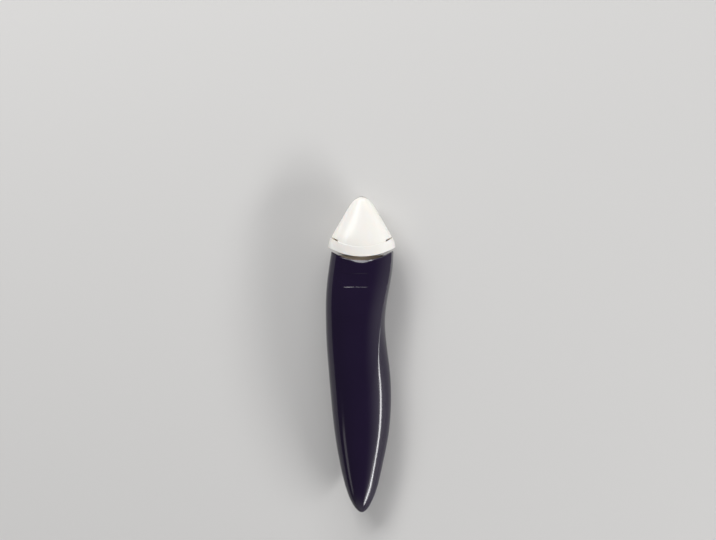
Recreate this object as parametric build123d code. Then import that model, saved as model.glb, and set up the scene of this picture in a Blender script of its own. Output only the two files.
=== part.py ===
from build123d import *
import math
import os

# Chalk wheel marker, in millimetres. It lies on the flat land of its back flank: X runs across the
# tool, Y along it towards the wheel, Z up out of the front flank. While the pieces are made, the tool's
# axis is the Y axis and its mid-plane is Z = 0; each piece is moved to the shared origin at the end.

# Overall
tool_length = 107.8
handle_back = 12.3
handle_front = 10.9
handle_half_thickness = 8.0
land_depth = 0.35

# Handle shells
handle_wall = 1.5
groove = 1.3
mouth_radius = 19.0
bevel_length = 1.05
bevel_depth = 0.58
panel_width = 8.1
panel_height = 4.8
panel_depth = 0.15
panel_from_mouth = 6.8
panel_aside = 2.0
rib_thickness = 1.2
dowel_radius = 0.9
dowel_length = 2.0
boss_wall = 0.8

# Nose cone
cone_length = 20.2
cone_half_width = 11.1
cone_half_thickness = 7.25
cone_wall = 1.4
rim_radius = 22.5
band_height = 3.45
band_step = 0.35
band_step_front = 0.09
slit_width = 0.45
slit_reach = 2.9

# Neck collar, which the cone snaps onto
plate_thickness = 1.8
plate_recess = 0.4
spigot_half_width = 8.1
spigot_half_thickness = 5.4
spigot_length = 6.4
neck_half_width = 8.5
neck_half_thickness = 5.5
neck_depth = 2.2
pip_radius = 0.5
pip_aside = 2.7
pip_up = 2.1
arm_thickness = 0.9
arm_width = 4.4
arm_height = 1.2
hook_cover = 0.45
spout_wall = 1.0

# Reservoir tube, chalk and plug
tube_radius = 4.6
tube_wall = 0.9
tube_length = 41.0
tube_seat = 2.2
plug_depth = 4.0
flange_thickness = 1.4
flange_inset = 0.5
tab_length = 1.8
tab_thickness = 1.3
tab_half_width = 3.7

# Wheel, its axle and the fork that carries them
wheel_radius = 2.6
wheel_thickness = 0.8
wheel_proud = 0.4
tooth_count = 20
tooth_depth = 0.45
axle_radius = 0.5
cheek_thickness = 1.0
cheek_half_width = 1.6
cheek_above_axle = 0.85
fork_flange = 1.4
fork_drop = 9.1
chute_radius = 2.9

# Clearances
fit = 0.1
slide_fit = 0.25
running_fit = 0.03
wheel_gap = 0.25
overrun = 5.0

# Places along the tool
tail_y = -tool_length / 2
apex_y = tool_length / 2 - wheel_proud
axle_y = tool_length / 2 - wheel_radius
rim_y = apex_y - cone_length
arc_y = rim_y + rim_radius
mouth_y = rim_y - groove
mouth_arc_y = mouth_y + mouth_radius
handle_length = rim_y - tail_y
slit_radius = rim_radius - band_height
shelf_y = apex_y - fork_drop
spigot_y = rim_y - spigot_length
shoulder_y = rim_y + plate_recess
tube_top_y = spigot_y + tube_seat
tube_end_y = tube_top_y - tube_length

# Sections of the handle from tail to mouth, as shares: place along it, reach to the back, reach to the
# front, half thickness, crest of the flank from the axis to the back, place of the crease across, its
# height in the half thickness, its slope and the turn of the flank over it in degrees, and how softly
# it runs into the finger rest.
handle_section_shares = (
    (0.014, 0.160, 0.180, 0.200, 0.02, 0.100, 0.72, 40, 0, 0.50),
    (0.045, 0.301, 0.326, 0.370, 0.04, 0.174, 0.74, 38, 6, 0.40),
    (0.103, 0.455, 0.500, 0.530, 0.07, 0.284, 0.76, 36, 14, 0.30),
    (0.195, 0.610, 0.670, 0.700, 0.10, 0.404, 0.78, 34, 20, 0.22),
    (0.309, 0.748, 0.848, 0.850, 0.14, 0.505, 0.79, 33, 26, 0.16),
    (0.436, 0.846, 0.920, 0.950, 0.17, 0.541, 0.79, 33, 30, 0.14),
    (0.561, 0.923, 0.876, 0.995, 0.18, 0.541, 0.76, 36, 30, 0.14),
    (0.665, 0.976, 0.771, 1.000, 0.17, 0.555, 0.74, 42, 34, 0.16),
    (0.757, 0.996, 0.734, 0.990, 0.13, 0.615, 0.72, 45, 40, 0.18),
    (0.848, 0.990, 0.821, 0.970, 0.07, 0.735, 0.71, 48, 44, 0.20),
    (0.940, 0.927, 0.950, 0.950, 0.03, 0.880, 0.70, 50, 46, 0.20),
    (1.055, 0.805, 1.000, 0.925, 0.00, 0.940, 0.70, 50, 46, 0.20),
)
hollow_from = 3
tip_joint = 2

# Sections of the cone from its tip: drop from the apex, half width and half thickness, as shares.
cone_section_shares = (
    (0.020, 0.150, 0.270),
    (0.080, 0.284, 0.390),
    (0.175, 0.405, 0.510),
    (0.300, 0.545, 0.635),
    (0.470, 0.725, 0.785),
    (0.640, 0.896, 0.910),
    (0.840, 1.000, 0.985),
    (1.070, 1.015, 1.000),
)
corner_share = 0.62
slope_pull_share = 0.42
rest_pull_share = 0.5

# Bosses of the handle: place along it, and place across as a share of its reach to back or front
boss_shares = ((0.870, -0.67), (0.554, -0.62), (0.465, 0.61))
tail_dowel_share = 0.148
rib_shares = (0.766, 0.578)

# Outline of one tooth: share of a tooth's turn, and share of its depth that is cut away there
tooth_outline_shares = ((0.0, 1.0), (0.2, 1.0), (0.5, 0.0), (0.7, 0.0))


def bezier_ring(points_by_edge):
    """Closed section that is mirrored in the mid-plane, from the edges of its upper half."""
    upper = [Edge.make_bezier(*edge) for edge in points_by_edge]
    lower = [
        Edge.make_bezier(*[(x, y, -z) for x, y, z in reversed(edge)])
        for edge in reversed(points_by_edge)
    ]
    return Wire(upper + lower)


def handle_section(row, inset):
    """Section of the handle: round back, gently crowned flank, crease, and the convex finger rest."""
    along, back, front, thick, crest, across, rise, slope, turn, soft = row
    y = tail_y + along * handle_length
    x_back = inset - back * handle_back
    x_front = front * handle_front - inset
    top = thick * handle_half_thickness - inset
    x_crest = -crest * handle_back
    x_crease = across * handle_front - inset
    z_crease = rise * top
    above, below = math.radians(slope - turn / 2), math.radians(slope + turn / 2)
    before = slope_pull_share * (top - z_crease)
    after = soft * z_crease
    points = (
        ((x_back, 0), (x_back, corner_share * top),
         (x_crest + corner_share * (x_back - x_crest), top), (x_crest, top)),
        ((x_crest, top), ((x_crest + x_crease) / 2, top),
         (x_crease - before * math.cos(above), z_crease + before * math.sin(above)),
         (x_crease, z_crease)),
        ((x_crease, z_crease),
         (x_crease + after * math.cos(below), z_crease - after * math.sin(below)),
         (x_front, rest_pull_share * z_crease), (x_front, 0)),
    )
    return bezier_ring([[(x, y, z) for x, z in edge] for edge in points])


def rounded_loft(tip_y, sections):
    """Loft that closes in a round tip: a short loft from the tip and a long one meet at one section."""
    joint_y = sections[tip_joint].bounding_box().center().Y
    tip = Solid.make_loft([Vertex(0, tip_y, 0)] + sections[:tip_joint + 2])
    trunk = Solid.make_loft(sections[tip_joint - 1:])
    far_y = tip_y + math.copysign(overrun, tip_y)
    tip_side = slab(*sorted((joint_y, far_y)))
    return (tip & tip_side) + (trunk - tip_side)


def handle_body(inset=0.0):
    """The handle's whole form, or the same form drawn in by a wall and stopped short of the tail."""
    if not inset:
        return rounded_loft(tail_y, [handle_section(row, 0) for row in handle_section_shares])
    return Solid.make_loft(
        [handle_section(row, inset) for row in handle_section_shares[hollow_from:]]
    )


def cone_section(row, inset, step, step_front):
    drop, wide, thick = row
    y = apex_y - drop * cone_length
    x = wide * cone_half_width - inset + step
    z = thick * cone_half_thickness - inset + step_front
    points = (
        ((-x, 0), (-x, corner_share * z), (-corner_share * x, z), (0, z)),
        ((0, z), (corner_share * x, z), (x, corner_share * z), (x, 0)),
    )
    return bezier_ring([[(px, y, pz) for px, pz in edge] for edge in points])


def cone_body(inset=0.0, step=0.0, step_front=0.0):
    """The cone's domed form, drawn in by a wall or stepped out to the band."""
    if inset or step:
        rows = cone_section_shares[tip_joint:]
        return Solid.make_loft([cone_section(row, inset, step, step_front) for row in rows])
    return rounded_loft(apex_y, [cone_section(row, 0, 0, 0) for row in cone_section_shares])


def disc(radius):
    """A tall disc about the centre that the rim and the slits share."""
    return Pos(0, arc_y, 0) * Cylinder(radius, tool_length)


def block(x0, x1, y0, y1, z0, z1):
    return Pos((x0 + x1) / 2, (y0 + y1) / 2, (z0 + z1) / 2) * Box(x1 - x0, y1 - y0, z1 - z0)


def slab(y0, y1):
    """Everything between two places along the tool."""
    return block(-tool_length, tool_length, y0, y1, -tool_length, tool_length)


def rod(radius, y0, y1):
    """A round bar along the tool's axis."""
    return Pos(0, (y0 + y1) / 2, 0) * Rot(90, 0, 0) * Cylinder(radius, y1 - y0)


def sides(x0):
    """Both narrow sides of the tool, from x0 outwards."""
    reach = tool_length
    return block(x0, reach, -reach, reach, -reach, reach) + block(
        -reach, -x0, -reach, reach, -reach, reach
    )


# Handle shells


def mouth_disc():
    """What the dished mouth cuts off the handle's end."""
    return Pos(0, mouth_arc_y, 0) * Cylinder(mouth_radius, tool_length)


def mouth_bevel():
    """Cone about the mouth's centre that bevels the front flank to a crescent."""
    edge_z = handle_section_shares[-2][3] * handle_half_thickness
    height = 2 * (handle_half_thickness - edge_z + bevel_depth)
    edge_radius = mouth_radius + bevel_length
    spread = height / 2 * bevel_length / bevel_depth
    return Pos(0, mouth_arc_y, edge_z) * Cone(edge_radius - spread, edge_radius + spread, height)


def boss_places():
    places = []
    for along, across in boss_shares:
        reach = handle_front if across > 0 else handle_back
        places.append((across * reach, tail_y + along * handle_length))
    return places


def dowel_places():
    """A dowel on each boss, and one in the solid tail."""
    return boss_places() + [(0, tail_y + tail_dowel_share * handle_length)]


def handle_half():
    """One half in front of the mid-plane: outer form, hollow, the cradle ribs that guide the tube, and
    the bosses of its dowels."""
    reach = tool_length
    half = block(-reach, reach, -reach, reach, 0, reach)
    hollow = handle_body(handle_wall)
    shell = (handle_body() & half) - hollow
    lane = tube_radius + slide_fit
    cradle = block(-lane, lane, tail_y, apex_y, -lane, lane)
    for share in rib_shares:
        y = tail_y + share * handle_length
        shell += (hollow & half & slab(y - rib_thickness / 2, y + rib_thickness / 2)) - cradle
    for x, y in boss_places():
        post = Pos(x, y, reach / 2) * Cylinder(dowel_radius + boss_wall, reach)
        shell += post & hollow & half
    return shell - mouth_disc()


def handle_front_shell():
    """Front half, with the sockets of the dowels, the bevelled mouth and a bare sunk panel."""
    shell = handle_half() - mouth_bevel()
    for x, y in dowel_places():
        shell -= Pos(x, y, 0) * Cylinder(dowel_radius + fit / 2, 2 * (dowel_length + 2 * fit))
    y = mouth_y - panel_from_mouth
    window = block(
        -panel_aside - panel_width / 2, -panel_aside + panel_width / 2,
        y - panel_height / 2, y + panel_height / 2, 0, tool_length,
    )
    return shell - (window - handle_body(panel_depth))


def handle_rear_shell():
    """Rear half, with the dowels, and the flat land that the tool lies on."""
    shell = handle_half()
    for x, y in dowel_places():
        shell += Pos(x, y, 0) * Cylinder(dowel_radius, 2 * dowel_length)
    reach = tool_length
    land_z = handle_half_thickness - land_depth
    shell -= block(-reach, reach, -reach, reach, land_z, reach)
    return mirror(shell, about=Plane.XY)


# Chalk cartridge


def nose_cone():
    """Ivory cone: domed shell, stepped band, a slit in each narrow side, wheel slot and fork pocket."""
    band = cone_body(0, band_step, band_step_front) - disc(slit_radius + slit_width / 2)
    cone = (cone_body() + band) & disc(rim_radius)
    cone -= cone_body(cone_wall) & slab(-tool_length, shelf_y)
    slit = disc(slit_radius + slit_width / 2) - disc(slit_radius - slit_width / 2)
    cone -= slit & sides(cone_half_width - slit_reach)
    pocket_x = cheek_half_width + fit
    pocket_z = wheel_thickness / 2 + wheel_gap + cheek_thickness + fit
    cone -= block(
        -pocket_x, pocket_x, shelf_y - fit, axle_y + cheek_above_axle + fit, -pocket_z, pocket_z
    )
    return cone - wheel_slot()


def wheel_slot():
    """Round slot in the mid-plane about the axle, which breaks out at the tip."""
    depth = wheel_thickness + 2 * wheel_gap
    reach = wheel_radius + wheel_gap
    return Pos(0, axle_y, 0) * Cylinder(reach, depth)


def oval_post(half_width, half_thickness, y0, y1):
    with BuildPart() as post:
        with BuildSketch(Plane.XZ.offset(-y1)):
            Ellipse(half_width, half_thickness)
        extrude(amount=y1 - y0)
    return post.part


def collar_spigot():
    """Oval post that plugs into the handle, with two grip pips on each flank, and the wider neck that
    fills the groove between cone and mouth."""
    spigot = oval_post(spigot_half_width, spigot_half_thickness, spigot_y, shoulder_y)
    neck = oval_post(neck_half_width, neck_half_thickness, shoulder_y - neck_depth, shoulder_y)
    y = spigot_y + pip_up
    pip = Sphere(pip_radius)
    pip_z = spigot_half_thickness * math.sqrt(1 - (pip_aside / spigot_half_width) ** 2)
    pips = [Pos(x, y, z) * pip for x in (-pip_aside, pip_aside) for z in (-pip_z, pip_z)]
    return spigot + neck + pips


def neck_collar():
    """Plate inside the rim, spigot below it, spout above it, and the two snap arms."""
    inner = cone_body(cone_wall + fit)
    plate_rim = rim_radius - plate_recess
    plate = inner & (disc(plate_rim) - disc(plate_rim - plate_thickness))
    arm_zone = disc(plate_rim) - disc(slit_radius - arm_height)
    lane = block(-tool_length, tool_length, tail_y, apex_y, -arm_width / 2, arm_width / 2)
    arms = (inner - cone_body(cone_wall + fit + arm_thickness)) & arm_zone & lane
    arms &= sides(cone_half_width / 2)
    hook_half = (slit_width - fit) / 2
    hook_ring = disc(slit_radius + hook_half) - disc(slit_radius - hook_half)
    hooks = cone_body(hook_cover) - cone_body(cone_wall + fit + arm_thickness / 2)
    hooks &= hook_ring & lane & sides(cone_half_width - slit_reach + fit)
    spout_y = shelf_y - fork_flange
    spout = rod(chute_radius + spout_wall, rim_y, spout_y)
    collar = plate + arms + hooks + spout + collar_spigot()
    collar -= rod(tube_radius, spigot_y - overrun, tube_top_y)
    return collar - rod(chute_radius, tube_top_y - overrun, spout_y + overrun)


def wheel_fork():
    """Flange on the spout, chute for the chalk, and two cheeks bored for the axle."""
    flange_y = shelf_y - fork_flange
    flange = cone_body(cone_wall + fit) & slab(flange_y, shelf_y - fit)
    gap_z = wheel_thickness / 2 + wheel_gap
    top_y = axle_y + cheek_above_axle
    fork = flange
    for side in (-1, 1):
        z0, z1 = sorted((side * gap_z, side * (gap_z + cheek_thickness)))
        fork += block(-cheek_half_width, cheek_half_width, flange_y, top_y, z0, z1)
    chute = Pos(0, flange_y + fork_flange / 2, 0) * Rot(90, 0, 0) * Cone(
        gap_z, chute_radius, fork_flange + fit
    )
    fork -= chute
    fork -= block(
        -cheek_half_width, cheek_half_width, flange_y, top_y + overrun, -gap_z, gap_z
    )
    return fork - Pos(0, axle_y, 0) * Cylinder(axle_radius + running_fit, tool_length)


# Wheel


def toothed_wheel():
    """Flat wheel with pointed teeth that carry the chalk, pressed on its axle."""
    points = []
    for tooth in range(tooth_count):
        for turn, cut in tooth_outline_shares:
            angle = 2 * math.pi * (tooth + turn) / tooth_count
            radius = wheel_radius - cut * tooth_depth
            points.append((radius * math.cos(angle), radius * math.sin(angle)))
    with BuildPart() as wheel:
        with BuildSketch(Plane.XY.offset(-wheel_thickness / 2)):
            Polygon(*points, align=None)
            Circle(axle_radius, mode=Mode.SUBTRACT)
        extrude(amount=wheel_thickness)
    return Pos(0, axle_y, 0) * wheel.part


def wheel_axle():
    length = wheel_thickness + 2 * (wheel_gap + cheek_thickness)
    return Pos(0, axle_y, 0) * Cylinder(axle_radius, length)


# Reservoir


def reservoir_tube():
    tube = rod(tube_radius, tube_end_y, tube_top_y)
    return tube - rod(tube_radius - tube_wall, tube_end_y - overrun, tube_top_y + overrun)


def chalk_charge():
    return rod(tube_radius - tube_wall - fit, tube_end_y + plug_depth + fit, tube_top_y)


def filler_plug():
    """Stopper: shank in the tube, flange on the middle of its wall, and a tab for finger and thumb."""
    flange_y = tube_end_y - flange_thickness
    plug = rod(tube_radius - tube_wall - running_fit, flange_y, tube_end_y + plug_depth)
    plug += rod(tube_radius - flange_inset, flange_y, tube_end_y)
    tab = block(
        -tab_half_width, tab_half_width, flange_y - tab_length, flange_y,
        -tab_thickness / 2, tab_thickness / 2,
    )
    return plug + tab


pieces = {
    "handle_front_shell": handle_front_shell,
    "handle_rear_shell": handle_rear_shell,
    "nose_cone": nose_cone,
    "neck_collar": neck_collar,
    "wheel_fork": wheel_fork,
    "toothed_wheel": toothed_wheel,
    "wheel_axle": wheel_axle,
    "reservoir_tube": reservoir_tube,
    "chalk_charge": chalk_charge,
    "filler_plug": filler_plug,
}

# The shared origin lies under the middle of the tool, on the surface that it rests on.
widest_half = cone_half_width + band_step
to_origin = Pos((handle_back - widest_half) / 2, 0, handle_half_thickness - land_depth)

os.makedirs("parts", exist_ok=True)
for name, make in pieces.items():
    export_step(to_origin * make(), f"parts/{name}.step")
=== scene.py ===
import math

import bpy
import numpy as np
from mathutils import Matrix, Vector


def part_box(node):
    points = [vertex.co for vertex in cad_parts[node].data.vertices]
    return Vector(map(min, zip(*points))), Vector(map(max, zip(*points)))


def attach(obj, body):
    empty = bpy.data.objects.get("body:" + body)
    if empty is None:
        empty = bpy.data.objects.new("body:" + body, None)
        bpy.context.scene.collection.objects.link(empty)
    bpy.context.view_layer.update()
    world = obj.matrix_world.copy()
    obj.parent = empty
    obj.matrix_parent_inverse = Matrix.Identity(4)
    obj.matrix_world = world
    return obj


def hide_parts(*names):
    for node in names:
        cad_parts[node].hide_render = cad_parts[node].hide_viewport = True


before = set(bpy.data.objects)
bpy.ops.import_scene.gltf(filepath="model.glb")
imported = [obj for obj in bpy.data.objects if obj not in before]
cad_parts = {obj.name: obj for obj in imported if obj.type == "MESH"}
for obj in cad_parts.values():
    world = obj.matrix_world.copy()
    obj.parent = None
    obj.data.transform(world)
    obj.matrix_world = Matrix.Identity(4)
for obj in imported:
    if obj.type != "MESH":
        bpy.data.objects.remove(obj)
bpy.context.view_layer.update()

# Handle, front shell
# The half that faces the eye: ABS in a very dark aubergine, injection moulded against a polished steel
# face, with the crease of the finger rest, the dished mouth for the cone and a bare sunk panel below it.
# It is pinned by four dowels to its mate along the mid-plane.

MM = 0.001
handle_back, handle_front, handle_half_thickness = 12.3, 10.9, 8.0
wall = 1.5
mouth_radius = 19.0
lip_radius = 0.45
parting_bevel = 0.1
crease_cut_places, crease_cuts = (0.10, 0.30, 0.50, 0.62, 0.74), (1.6, 1.6, 1.1, 0.45, 0.06)
crease_cut_limit = 2.2
bevel_length, bevel_slope, bevel_edge = 1.05, 0.66, 0.07
panel_width, panel_height, panel_depth, panel_edge = 8.1, 4.8, 0.10, 0.18
panel_from_mouth, panel_aside = 6.8, 2.0

tube_low, tube_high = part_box("reservoir_tube")
cone_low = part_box("nose_cone")[0]
handle_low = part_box("handle_front_shell")[0]
axis_x = (tube_low[0] + tube_high[0]) / 2 / MM
axis_z = (tube_low[2] + tube_high[2]) / 2 / MM
tail_y = handle_low[1] / MM
rim_y = cone_low[1] / MM
groove = 1.3
mouth_y = rim_y - groove
mouth_centre_y = mouth_y + mouth_radius
handle_length = rim_y - tail_y

# Sections from tail to mouth, as shares: place along, reach to the back, reach to the front, half
# thickness, crest of the flank, place of the crease across and its height, its slope and the turn of the
# flank over it in degrees, and how softly it runs into the finger rest.
section_shares = np.array([
    (0.014, 0.160, 0.180, 0.200, 0.02, 0.100, 0.72, 40, 0, 0.50),
    (0.045, 0.301, 0.326, 0.370, 0.04, 0.174, 0.74, 38, 6, 0.40),
    (0.103, 0.455, 0.500, 0.530, 0.07, 0.284, 0.76, 36, 14, 0.30),
    (0.195, 0.610, 0.670, 0.700, 0.10, 0.404, 0.78, 34, 20, 0.22),
    (0.309, 0.748, 0.848, 0.850, 0.14, 0.505, 0.79, 33, 26, 0.16),
    (0.436, 0.846, 0.920, 0.950, 0.17, 0.541, 0.79, 33, 30, 0.14),
    (0.561, 0.923, 0.876, 0.995, 0.18, 0.541, 0.76, 36, 30, 0.14),
    (0.665, 0.976, 0.771, 1.000, 0.17, 0.555, 0.74, 42, 34, 0.16),
    (0.757, 0.996, 0.734, 0.990, 0.13, 0.615, 0.72, 45, 40, 0.18),
    (0.848, 0.990, 0.821, 0.970, 0.07, 0.735, 0.71, 48, 44, 0.20),
    (0.940, 0.927, 0.950, 0.950, 0.03, 0.880, 0.70, 50, 46, 0.20),
    (1.055, 0.805, 1.000, 0.925, 0.00, 0.940, 0.70, 50, 46, 0.20),
])
closes_at_tail = np.array([True, True, True, True, True, False, False, False, False])
corner_share, slope_pull_share = 0.62, 0.42
hollow_from_share, hollow_full_share, thickest_wall_share = 0.185, 0.225, 0.4
back_lines, flank_lines, crease_lines, rest_lines, lip_stations = 26, 96, 9, 20, 7

# From, to and number of stations along the handle, closest at the panel's two edges. Those of the tail
# grow with the square of their number.
tail_first_root, tail_stations, mouth_stations = 0.008, 70, 14
station_runs = ((0.30, 0.86, 65), (0.86, 0.885, 10), (0.885, 0.900, 28), (0.900, 0.940, 17),
                (0.940, 0.956, 30), (0.956, 0.985, 13))


def smooth_shares(along):
    """Shares at any place along: a natural cubic spline through the rows over the root of the place,
    with the rows repeated in mirror image beyond the tail so that the form closes round there."""
    root = np.sqrt(section_shares[:, 0])
    mirror = np.where(closes_at_tail, -1, 1) * section_shares[::-1, 1:]
    knots = np.concatenate([-root[::-1], root])
    rows = np.concatenate([mirror, section_shares[:, 1:]])
    gap = np.diff(knots)
    inner = np.arange(1, len(knots) - 1)
    system = np.eye(len(knots))
    system[inner, inner - 1] = gap[:-1]
    system[inner, inner] = 2 * (gap[:-1] + gap[1:])
    system[inner, inner + 1] = gap[1:]
    slope = np.diff(rows, axis=0) / gap[:, None]
    bend = np.linalg.solve(system, np.pad(6 * np.diff(slope, axis=0), ((1, 1), (0, 0))))
    place = np.sqrt(along)
    k = np.clip(np.searchsorted(knots, place) - 1, 0, len(gap) - 1)
    span = gap[k][..., None]
    right = (place - knots[k])[..., None] / span
    left = 1 - right
    return (left * rows[k] + right * rows[k + 1]
            + ((left**3 - left) * bend[k] + (right**3 - right) * bend[k + 1]) * span**2 / 6)


def bezier(points, t):
    """Cubic curve through four control points."""
    a, b, c, d = points
    return (1 - t)**3 * a + 3 * (1 - t)**2 * t * b + 3 * (1 - t) * t**2 * c + t**3 * d


def bezier_way(points, t):
    """Direction of that curve, as a third of its slope."""
    a, b, c, d = points
    return (1 - t)**2 * (b - a) + 2 * (1 - t) * t * (c - b) + t**2 * (d - c)


def smooth_step(low, high, value):
    t = np.clip((value - low) / (high - low), 0, 1)
    return t * t * (3 - 2 * t)


def smooth_min(a, b, blend):
    """The lower of two heights, with their meeting edge rounded over the blend."""
    return np.minimum(a, b) - blend * np.log1p(np.exp(-np.abs(a - b) / blend))


def meeting_point(start, way, end, back):
    """Where the line from the start along the way crosses the one from the end along back. Its reach is
    kept short, so that lines which are nearly parallel throw no spike."""
    share = ((end[0] - start[0]) * back[1] - (end[1] - start[1]) * back[0]) / (
        way[0] * back[1] - way[1] * back[0])
    share = np.clip(share, 0, 2)
    return start[0] + share * way[0], start[1] + share * way[1]


def handle_section(along, inset):
    """Half section for every line, back edge to front edge: a round back quarter, a gently crowned
    flank, a rounded crease and the convex finger rest, each a cubic curve, drawn in by the inset."""
    shares = np.moveaxis(smooth_shares(along), -1, 0)
    back, front, thick, crest, across, rise, slope, turn, soft = shares
    ends = np.cumsum([back_lines, flank_lines, crease_lines])
    x_back, x_front = inset - back * handle_back, front * handle_front - inset
    top = thick * handle_half_thickness - inset
    x_crest, x_crease = -crest * handle_back, across * handle_front - inset
    z_crease = rise * top
    above, below = np.radians(slope - turn / 2), np.radians(slope + turn / 2)
    before, after = slope_pull_share * (top - z_crease), soft * z_crease
    cut = np.minimum(np.interp(along, crease_cut_places, crease_cuts),
                     crease_cut_limit * np.minimum(before, after))
    zero = np.zeros_like(top)
    quarter = ((x_back, zero), (x_back, corner_share * top),
               (x_crest + corner_share * (x_back - x_crest), top), (x_crest, top))
    flank = ((x_crest, top), ((x_crest + x_crease) / 2, top),
             (x_crease - before * np.cos(above), z_crease + before * np.sin(above)),
             (x_crease, z_crease))
    rest = ((x_crease, z_crease), (x_crease + after * np.cos(below), z_crease - after * np.sin(below)),
            (x_front, z_crease / 2), (x_front, zero))
    flank_end, rest_start = 1 - cut / (3 * before), cut / (3 * after)
    t_quarter = np.linspace(0, 1, back_lines, endpoint=False)
    t_flank = np.linspace(0, 1, flank_lines, endpoint=False)
    t_rest = np.linspace(0, 1, rest_lines)
    t_crease = np.linspace(0, 1, crease_lines, endpoint=False)
    start, end = [[bezier([point[axis] for point in curve], t) for axis in (0, 1)]
                  for curve, t in ((flank, flank_end), (rest, rest_start))]
    way, back_way = [[bezier_way([point[axis] for point in curve], t) for axis in (0, 1)]
                     for curve, t in ((flank, flank_end), (rest, rest_start))]
    corner = meeting_point(start, way, end, back_way)
    parts = np.split(np.arange(along.shape[1]), ends)
    from_share = rest_start[:, parts[3]]
    section = []
    for axis in (0, 1):
        q, f, r = ([point[axis] for point in curve] for curve in (quarter, flank, rest))
        quarter_line = bezier([p[:, parts[0]] for p in q], t_quarter)
        flank_line = bezier([p[:, parts[1]] for p in f], t_flank * flank_end[:, parts[1]])
        a, b, c = (point[axis][:, parts[2]] for point in (start, corner, end))
        crease_line = (1 - t_crease)**2 * a + 2 * (1 - t_crease) * t_crease * b + t_crease**2 * c
        rest_line = bezier([p[:, parts[3]] for p in r], from_share + (1 - from_share) * t_rest)
        section.append(np.concatenate([quarter_line, flank_line, crease_line, rest_line], axis=1))
    return section


def mouth_at(x):
    """Place along of the dished mouth's edge: an arc about a centre on the tool's axis."""
    return mouth_centre_y - np.sqrt(mouth_radius**2 - x**2)


def handle_skin(inset_by_place, ends_in):
    """One skin of a half handle on a grid of stations and lines. Each line runs from the tail to where
    it meets the mouth, and ends in a quarter-round lip."""
    lines = back_lines + flank_lines + crease_lines + rest_lines
    tail_roots = np.linspace(tail_first_root, math.sqrt(station_runs[0][0]), tail_stations)
    stations = np.concatenate([tail_roots[:-1]**2]
                              + [np.linspace(low, high, count, endpoint=False)
                                 for low, high, count in station_runs]
                              + [np.linspace(station_runs[-1][1], 1, mouth_stations)])
    end = np.full((1, lines), (mouth_y - tail_y) / handle_length)
    for _ in range(6):
        x, _z = handle_section(end, inset_by_place(end))
        end = (mouth_at(x) - ends_in - tail_y) / handle_length
    along = stations[:, None] * end
    x, z = handle_section(along, inset_by_place(along))
    y = tail_y + along * handle_length
    turn = np.linspace(0, math.pi / 2, lip_stations + 1)[1:, None]
    lip_along = np.repeat(end, len(turn), axis=0)
    lip_inset = inset_by_place(lip_along) + ends_in * (1 - np.cos(turn))
    lip_x, lip_z = handle_section(lip_along, lip_inset)
    lip_y = mouth_at(lip_x) - ends_in * (1 - np.sin(turn))
    return [np.concatenate(pair) for pair in ((x, lip_x), (y, lip_y), (z, lip_z))]


def no_inset(along):
    return np.zeros_like(along)


def wall_inset(along):
    """Depth of the inner skin: the wall, but never over two fifths of the tail's own half thickness."""
    return np.minimum(wall, thickest_wall_share * handle_half_thickness * smooth_shares(along)[..., 2])


def bevel_and_panel(x, y, z):
    """The front flank's own cuts: a shallow cone that bevels the mouth, and the sunk panel."""
    radius = np.hypot(x, y - mouth_centre_y)
    mouth_share = np.array([(mouth_y - tail_y) / handle_length])
    flank_top = handle_half_thickness * smooth_shares(mouth_share)[0, 2]
    cone = flank_top + bevel_slope * (radius - mouth_radius - bevel_length)
    z = smooth_min(z, cone, bevel_edge)
    inside_x = panel_width / 2 - np.abs(x + panel_aside)
    inside_y = panel_height / 2 - np.abs(y - mouth_y + panel_from_mouth)
    sunk = smooth_step(0, panel_edge, inside_x) * smooth_step(0, panel_edge, inside_y)
    return z - panel_depth * sunk


def half_handle(cuts):
    """A closed half shell: outer and inner skin, joined along the parting face and round the mouth, and
    drawn to a point at the tail. The inner skin lies flat on the mid-plane where the tail is solid."""
    outer_x, outer_y, outer_z = handle_skin(no_inset, lip_radius)
    outer_z = np.maximum(cuts(outer_x, outer_y, outer_z), 0)
    inner_x, inner_y, inner_z = handle_skin(wall_inset, 0)
    inner_z = inner_z * smooth_step(hollow_from_share, hollow_full_share,
                                    (inner_y - tail_y) / handle_length)
    inward = np.minimum(parting_bevel, np.abs(outer_x[:, :1]) / 4)
    for edge, side in ((0, 1), (-1, -1)):
        outer_x[:, edge] += side * inward[:, 0]
    x = np.concatenate([outer_x, inner_x[:, ::-1]], axis=1)
    y = np.concatenate([outer_y, inner_y[:, ::-1]], axis=1)
    z = np.concatenate([outer_z, inner_z[:, ::-1]], axis=1)
    return np.stack([x, y, z], axis=-1)


def ring_faces(stations, around):
    """Four-cornered faces between neighbouring closed rings."""
    i, j = np.meshgrid(np.arange(stations - 1), np.arange(around), indexing="ij")
    k = (j + 1) % around
    corners = (i * around + j, i * around + k, (i + 1) * around + k, (i + 1) * around + j)
    return np.stack(corners, axis=-1).reshape(-1, 4)


def add_piece(name, points, quads, triangles=None, sharp_angle=35):
    """Puts points in millimetres about the tool's axis into a mesh, smooth but for its sharp edges."""
    place = points.reshape(-1, 3) + (axis_x, 0, axis_z)
    faces = quads.tolist() + (triangles.tolist() if triangles is not None else [])
    mesh = bpy.data.meshes.new(name)
    mesh.from_pydata((place * MM).tolist(), [], faces)
    mesh.validate()
    mesh.shade_smooth()
    mesh.set_sharp_from_angle(angle=math.radians(sharp_angle))
    piece = bpy.data.objects.new(name, mesh)
    bpy.context.scene.collection.objects.link(piece)
    return piece


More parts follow.
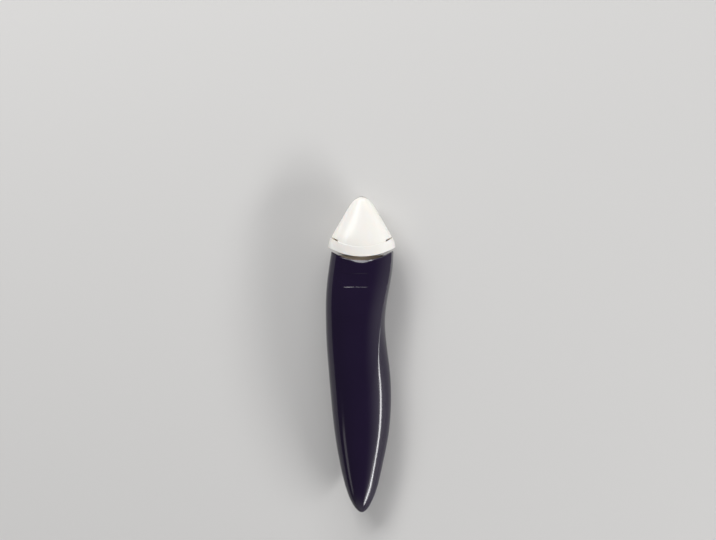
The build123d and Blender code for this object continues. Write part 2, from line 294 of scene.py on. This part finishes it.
def add_half_handle(name, cuts, side):
    """Closes the rings at the tail with a fan and at the mouth with a strip; side -1 mirrors the half."""
    rings = half_handle(cuts)
    stations, around = rings.shape[:2]
    tip = np.array([[0, tail_y, 0]])
    points = np.concatenate([rings.reshape(-1, 3), tip]) * (1, 1, side)
    j = np.arange(around)
    fan = np.stack([np.full(around, stations * around), (j + 1) % around, j], axis=-1)
    last = (stations - 1) * around
    m = np.arange(around // 2 - 1)
    strip = last + np.stack([m, m + 1, around - 2 - m, around - 1 - m], axis=-1)
    quads = np.concatenate([ring_faces(stations, around), strip])
    if side < 0:
        quads, fan = quads[:, ::-1], fan[:, ::-1]
    return add_piece(name, points, quads, fan)


def linear(hex_colour):
    """An sRGB hex colour as linear values with an opaque fourth."""
    channels = [int(hex_colour[i:i + 2], 16) / 255 for i in (1, 3, 5)]
    return tuple(c / 12.92 if c <= 0.04045 else ((c + 0.055) / 1.055)**2.4 for c in channels) + (1,)


def add_node(tree, kind, settings=None, links=None):
    """Adds a node; settings go to its properties or its sockets, links name the sockets that feed it."""
    node = tree.nodes.new(kind)
    for key, value in (settings or {}).items():
        if isinstance(key, str) and hasattr(node, key):
            setattr(node, key, value)
        else:
            node.inputs[key].default_value = value
    for key, source in (links or {}).items():
        tree.links.new(source, node.inputs[key])
    return node


def new_material(name, settings):
    """A material with one Principled shader, whose uniform values are set on its own sockets."""
    material = bpy.data.materials.new(name)
    material.use_nodes = True
    tree = material.node_tree
    tree.nodes.clear()
    shader = add_node(tree, "ShaderNodeBsdfPrincipled", settings)
    add_node(tree, "ShaderNodeOutputMaterial", {}, {"Surface": shader.outputs[0]})
    return material, tree, shader


def noise(tree, size, detail, stretch=1):
    """A cloudy pattern in the object's own place. Its grains have about the size in millimetres, and a
    stretch below 1 draws them out along the tool."""
    place = add_node(tree, "ShaderNodeTexCoord").outputs["Object"]
    if stretch != 1:
        place = add_node(tree, "ShaderNodeMapping", {"Scale": (1, stretch, 1)}, {"Vector": place}).outputs[0]
    return add_node(tree, "ShaderNodeTexNoise", {"Scale": 1 / (size * MM), "Detail": detail},
                    {"Vector": place}).outputs[0]


def vary_colour(tree, shader, pattern, low_hex, high_hex):
    colour = add_node(tree, "ShaderNodeMix",
                      {"data_type": "RGBA", 6: linear(low_hex), 7: linear(high_hex)}, {0: pattern})
    tree.links.new(colour.outputs[2], shader.inputs["Base Color"])


def vary_roughness(tree, shader, pattern, low, high):
    rough = add_node(tree, "ShaderNodeMapRange", {3: low, 4: high}, {0: pattern})
    tree.links.new(rough.outputs[0], shader.inputs["Roughness"])


def add_relief(tree, shader, pattern, strength, depth, links=None):
    """Relief that follows the pattern, its depth in millimetres."""
    bump = add_node(tree, "ShaderNodeBump", {"Strength": strength, "Distance": depth * MM},
                    {"Height": pattern, **(links or {})})
    tree.links.new(bump.outputs[0], shader.inputs["Normal"])


def dress(piece, material):
    piece.data.materials.clear()
    piece.data.materials.append(material)


def polished_aubergine_abs():
    """Moulded ABS, mass-coloured aubergine, near black. Polished tooling leaves a clear gloss with a
    faint slow ripple where the plastic sank, and handling leaves a few hazy patches."""
    material, tree, shader = new_material("polished aubergine ABS", {"IOR": 1.48})
    vary_colour(tree, shader, noise(tree, 14, 2), "#160c25", "#1c112c")
    vary_roughness(tree, shader, noise(tree, 5, 5), 0.10, 0.17)
    add_relief(tree, shader, noise(tree, 7, 1), 0.5, 0.015)
    return material


handle_plastic = polished_aubergine_abs()
front_shell = add_half_handle("handle_front_shell_skin", bevel_and_panel, 1)
dress(front_shell, handle_plastic)
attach(front_shell, "handle")
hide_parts("handle_front_shell")


# Handle, rear shell
# Its mirror image, moulded in the same plastic with the dowels. Its back flank has a flat land, on which
# the tool lies on the table.

land_depth, land_edge = 0.35, 0.02


def rest_land(x, y, z):
    """The flat that the back flank rests on."""
    return smooth_min(z, handle_half_thickness - land_depth, land_edge)


rear_shell = add_half_handle("handle_rear_shell_skin", rest_land, -1)
dress(rear_shell, handle_plastic)
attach(rear_shell, "handle")
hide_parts("handle_rear_shell")


# Nose cone
# The ivory head that the hand aims with: moulded in one piece, with a slit through each narrow side where
# the collar's hooks snap in, and a slot at the tip for the wheel.

edge_rounding = 0.18


def rounded_edges(tree):
    """The small rounding that a mould leaves on every edge, as a change of the shading alone."""
    return add_node(tree, "ShaderNodeBevel", {"samples": 8, "Radius": edge_rounding * MM}).outputs[0]


def ivory_plastic():
    """Moulded ivory ABS: a satin gloss, a little light carried under the skin, slightly yellowed, with
    softly rounded edges that catch the light."""
    material, tree, shader = new_material("moulded ivory ABS", {
        "IOR": 1.52, "Subsurface Weight": 0.25, "Subsurface Radius": (1.6, 1.1, 0.8),
        "Subsurface Scale": 0.5 * MM})
    vary_colour(tree, shader, noise(tree, 9, 3), "#e8e5de", "#edebe6")
    vary_roughness(tree, shader, noise(tree, 4, 5), 0.28, 0.38)
    add_relief(tree, shader, noise(tree, 1.2, 2), 0.4, 0.01, {"Normal": rounded_edges(tree)})
    return material


dress(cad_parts["nose_cone"], ivory_plastic())


# Neck collar and fork
# The collar plugs the cone into the handle's mouth and snaps into the cone by two hooked arms; the fork
# on its spout carries the wheel. Both are acetal, moulded in a dull khaki.


def khaki_acetal():
    """Moulded acetal: khaki, waxy, with a soft broad sheen and faint streaks along the flow."""
    material, tree, shader = new_material("moulded khaki acetal", {"IOR": 1.48})
    streak = noise(tree, 1.5, 4, stretch=0.25)
    vary_colour(tree, shader, streak, "#d2bda3", "#dccab3")
    vary_roughness(tree, shader, streak, 0.34, 0.46)
    tree.links.new(rounded_edges(tree), shader.inputs["Normal"])
    return material


collar_plastic = khaki_acetal()
for name in ("neck_collar", "wheel_fork"):
    dress(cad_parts[name], collar_plastic)


# Wheel and axle
# The toothed wheel is stamped from steel sheet and nickel plated. It is pressed on a ground steel pin that
# turns in the fork.


def plated_steel(name, colour_hex, roughness_low, roughness_high):
    """Steel, bare or nickel plated: a warm grey metal with fine drawn lines."""
    material, tree, shader = new_material(name, {"Metallic": 1.0, "Base Color": linear(colour_hex)})
    lines = noise(tree, 0.12, 3, stretch=0.1)
    vary_roughness(tree, shader, lines, roughness_low, roughness_high)
    add_relief(tree, shader, lines, 0.3, 0.004)
    return material


dress(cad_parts["toothed_wheel"], plated_steel("nickel plated steel", "#c9c4ba", 0.22, 0.38))
dress(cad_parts["wheel_axle"], plated_steel("ground steel", "#b8b6b3", 0.18, 0.30))


# Reservoir tube, chalk and plug
# The tube of chalk behind the collar is extruded polypropylene, natural and milky. A soft stopper
# closes its rear end.


def milky_polypropylene(name, low_hex, high_hex, roughness):
    """Natural polyolefin: milky, waxy, light goes about a millimetre into it."""
    material, tree, shader = new_material(name, {
        "IOR": 1.49, "Roughness": roughness, "Subsurface Weight": 0.4,
        "Subsurface Radius": (1.2, 1.1, 1.0), "Subsurface Scale": 1.0 * MM})
    vary_colour(tree, shader, noise(tree, 3, 4), low_hex, high_hex)
    tree.links.new(rounded_edges(tree), shader.inputs["Normal"])
    return material


def chalk_powder():
    """Packed tailor's chalk: matt white grains."""
    material, tree, shader = new_material("packed chalk powder", {"Roughness": 0.95})
    grain = noise(tree, 0.15, 6)
    vary_colour(tree, shader, grain, "#dcdad4", "#efeeea")
    add_relief(tree, shader, grain, 0.8, 0.05)
    return material


dress(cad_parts["reservoir_tube"],
      milky_polypropylene("extruded natural polypropylene", "#d9d7cf", "#e4e2da", 0.33))
dress(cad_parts["chalk_charge"], chalk_powder())
dress(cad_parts["filler_plug"],
      milky_polypropylene("moulded soft polyethylene", "#c9c3b4", "#d3cdbf", 0.45))


# Floor, studio light and camera
# A plain pale table in a room that is dark overhead and pale to the right and below the tail. A large soft
# box beyond the head to the left lights the ivory, two low lamps beyond it the bevel of the mouth and the
# panel, a long low strip to the right the crease, and two weak ones the tail.

floor_size = 6.0
lamp_distance = 0.85
# Name, tilt from the vertical, azimuth from +X towards +Y, width and height, brightness of the face.
lamps = (
    ("key", 48, 126, 0.56, 0.26, 8.4),
    ("brow", 66, 80, 0.40, 0.16, 8.6),
    ("spark", 66, 103, 0.16, 0.10, 24.0),
    ("crease_strip", 67, -28, 0.80, 0.09, 21.0),
    ("tail_glow", 66, -38, 0.30, 0.30, 3.0),
    ("tail_strip", 60, 209, 0.30, 0.20, 1.2),
)
room_dark, room_pale = 0.11, 1.0
pale_from, pale_to, below_share = 0.36, 0.95, 0.8
fill_colour = (0.22, 0.22, 0.23, 1)
camera_x, camera_y, camera_height = -0.00084, 0.0287, 1.0
frame_width, sensor = 0.2442, 36.0
scene = bpy.context.scene


def soft_box(name, tilt, azimuth, width, height, level):
    """A rectangular lamp on a dome about the object, which it faces; its level is the brightness of its
    face."""
    lamp = bpy.data.lights.new(name, "AREA")
    lamp.shape, lamp.size, lamp.size_y = "RECTANGLE", width, height
    lamp.energy = level * width * height * math.pi
    t, a = math.radians(tilt), math.radians(azimuth)
    place = lamp_distance * Vector((math.sin(t) * math.cos(a), math.sin(t) * math.sin(a), math.cos(t)))
    box = bpy.data.objects.new(name, lamp)
    box.location = place
    box.rotation_euler = (-place).to_track_quat("-Z", "Y").to_euler()
    scene.collection.objects.link(box)


floor_mesh = bpy.data.meshes.new("floor")
half = floor_size / 2
floor_mesh.from_pydata([(-half, -half, 0), (half, -half, 0), (half, half, 0), (-half, half, 0)], [],
                       [(0, 1, 2, 3)])
floor = bpy.data.objects.new("floor", floor_mesh)
scene.collection.objects.link(floor)
dress(floor, new_material("matt pale table", {"Base Color": linear("#cdccca"), "Roughness": 0.8})[0])

for row in lamps:
    soft_box(*row)

world = bpy.data.worlds.new("pale room")
scene.world = world
world.use_nodes = True
room = world.node_tree
room.nodes.clear()
direction = add_node(room, "ShaderNodeTexCoord").outputs["Generated"]
split = add_node(room, "ShaderNodeSeparateXYZ", {}, {0: direction})
below = add_node(room, "ShaderNodeMath", {"operation": "MULTIPLY", 1: -below_share}, {0: split.outputs[1]})
aside = add_node(room, "ShaderNodeMath", {"operation": "MAXIMUM"},
                 {0: split.outputs[0], 1: below.outputs[0]})
shade = add_node(room, "ShaderNodeMapRange", {"interpolation_type": "SMOOTHSTEP", 1: pale_from, 2: pale_to,
                                              3: room_dark, 4: room_pale}, {0: aside.outputs[0]})
seen = add_node(room, "ShaderNodeBackground", {}, {"Color": shade.outputs[0]})
fill = add_node(room, "ShaderNodeBackground", {"Color": fill_colour})
path = add_node(room, "ShaderNodeLightPath")
direct = add_node(room, "ShaderNodeMath", {"operation": "MAXIMUM"},
                  {0: path.outputs["Is Camera Ray"], 1: path.outputs["Is Glossy Ray"]})
direct = add_node(room, "ShaderNodeMath", {"operation": "MAXIMUM"},
                  {0: direct.outputs[0], 1: path.outputs["Is Transmission Ray"]})
mixed = add_node(room, "ShaderNodeMixShader", {},
                 {0: direct.outputs[0], 1: fill.outputs[0], 2: seen.outputs[0]})
add_node(room, "ShaderNodeOutputWorld", {}, {"Surface": mixed.outputs[0]})

camera_data = bpy.data.cameras.new("camera")
camera_data.sensor_width = sensor
camera_data.lens = sensor * (camera_height - axis_z * MM) / frame_width
camera = bpy.data.objects.new("camera", camera_data)
camera.location = (camera_x, camera_y, camera_height)
scene.collection.objects.link(camera)
scene.camera = camera
scene.view_settings.view_transform = "Standard"
